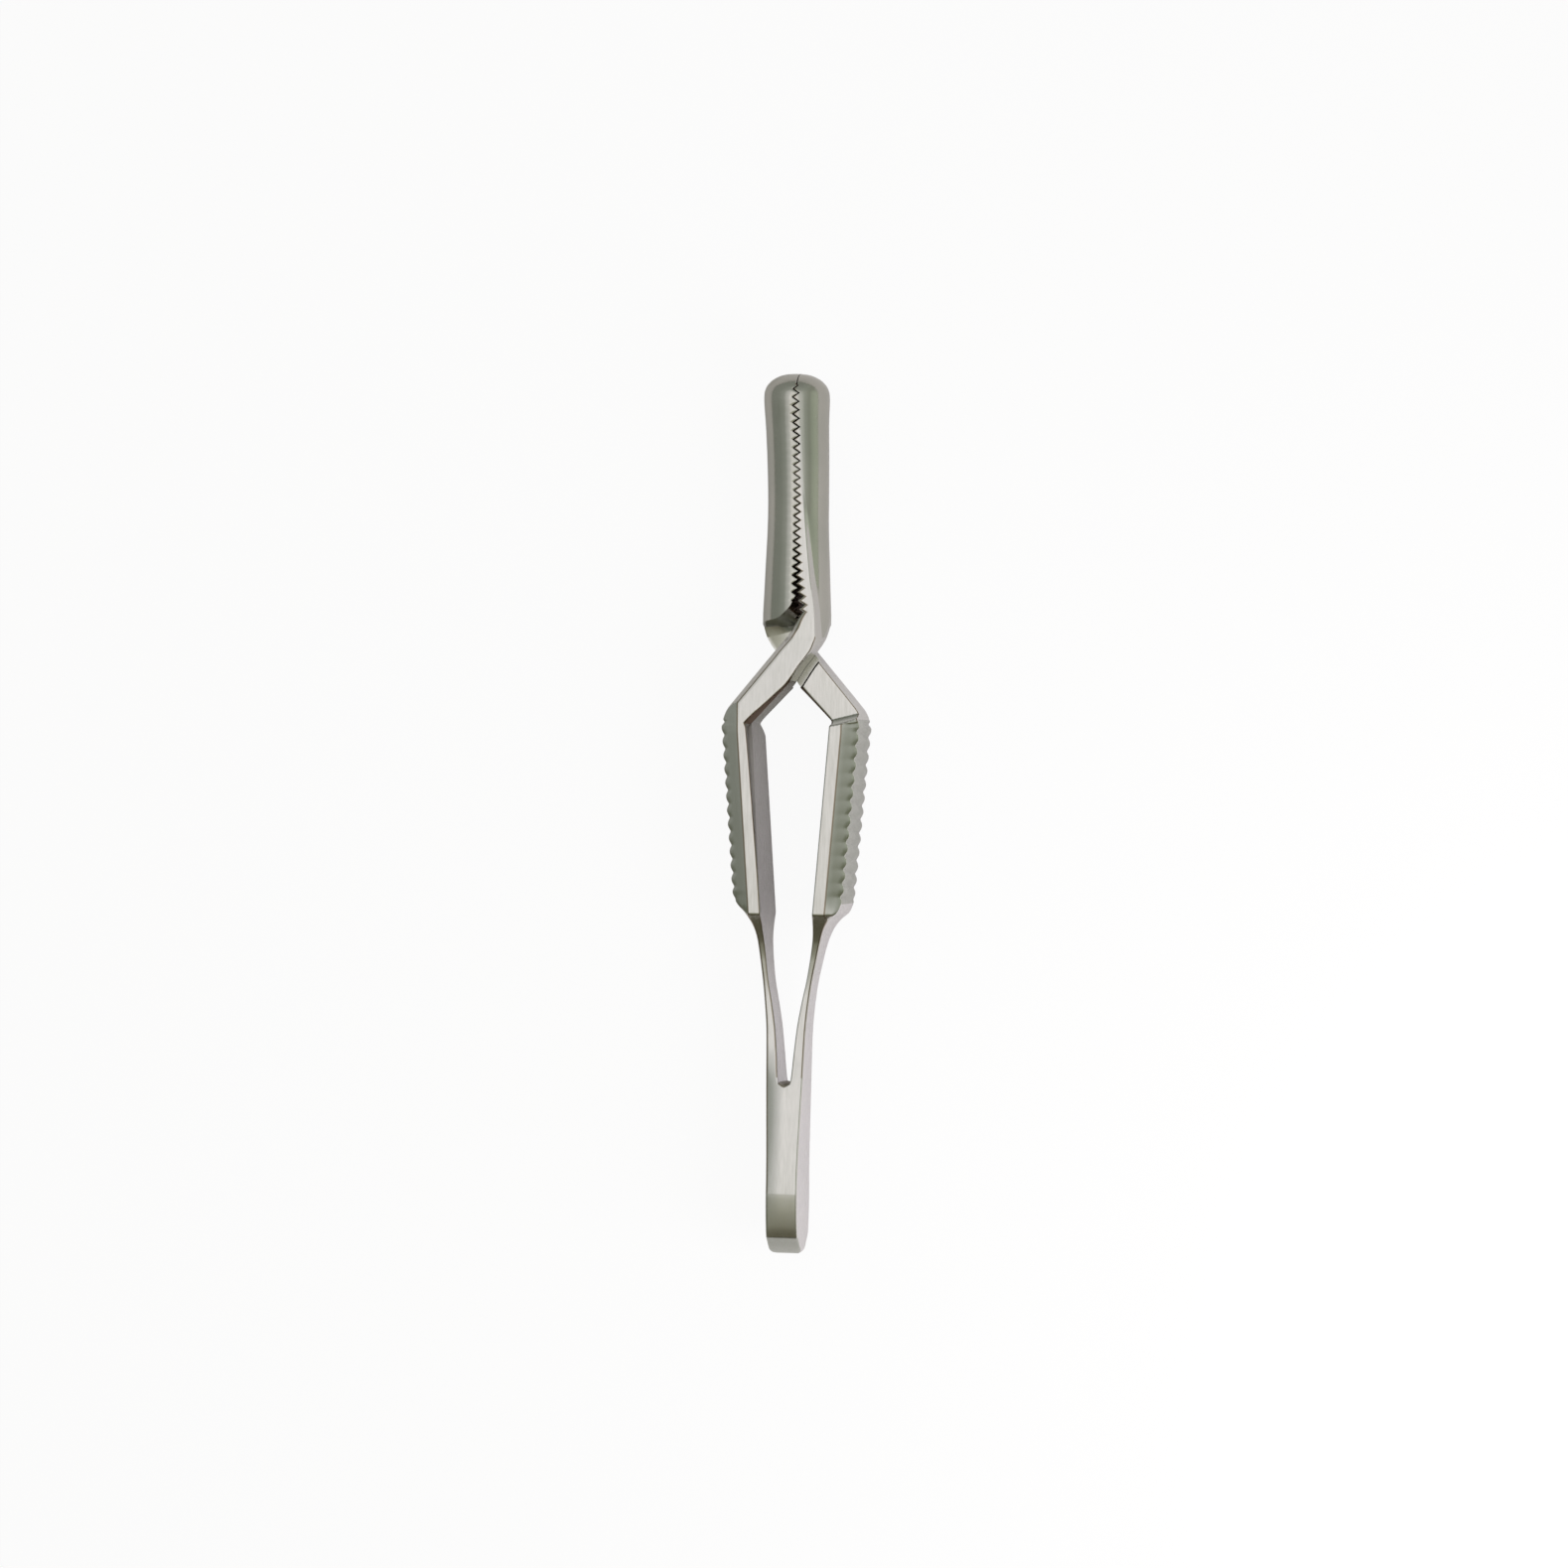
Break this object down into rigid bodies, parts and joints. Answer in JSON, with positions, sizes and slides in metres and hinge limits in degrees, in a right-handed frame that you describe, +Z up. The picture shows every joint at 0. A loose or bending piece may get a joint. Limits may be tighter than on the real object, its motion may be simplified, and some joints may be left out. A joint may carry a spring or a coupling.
{
  "type": "cross-action bulldog clamp",
  "caption": "Small cross-action spring clamp: two forged steel arms cross at a half-lap, so squeezing the ridged finger pads opens the toothed jaws.",
  "frame": {"origin": "centre of the footprint of the clamp lying flat, on the surface that it lies on", "axes": "+Y along the clamp towards the jaw tip, +Z up through the depth of the finger pads, X across the two arms"},
  "size_m": [0.0096, 0.06, 0.0056],
  "materials": {
    "satin_steel": "satin ground stainless steel with polished edges",
    "spring_steel": "satin stainless steel, ground lengthways",
    "weld_bead": "unpolished, slightly pitted weld"
  },
  "bodies": {
    "tail": {"left_tail_half": "satin_steel", "right_tail_half": "satin_steel", "tail_weld": "weld_bead"},
    "front_arm": {"left_spring_leaf": "spring_steel", "left_finger_pad": "satin_steel", "front_crossbar": "satin_steel", "right_jaw": "satin_steel"},
    "rear_arm": {"right_spring_leaf": "spring_steel", "right_finger_pad": "satin_steel", "rear_crossbar": "satin_steel", "left_jaw": "satin_steel"}
  },
  "joints": [
    {"name": "front_arm_flex", "type": "hinge", "parent": "tail", "child": "front_arm", "pos_m": [-0.00138, -0.0124, 0.0028], "axis": [0, 0, -1], "range_deg": [0, 0.75], "stiffness_Nm_per_rad": 0.5, "springref_deg": -5.73, "deforming": ["left_spring_leaf"]},
    {"name": "rear_arm_flex", "type": "hinge", "parent": "tail", "child": "rear_arm", "pos_m": [0.00138, -0.0124, 0.0028], "axis": [0, 0, 1], "range_deg": [0, 0.75], "stiffness_Nm_per_rad": 0.5, "springref_deg": -5.73, "deforming": ["right_spring_leaf"]}
  ],
  "couplings": [
    {"joint": "rear_arm_flex", "follows": "front_arm_flex", "ratio": 1}
  ]
}
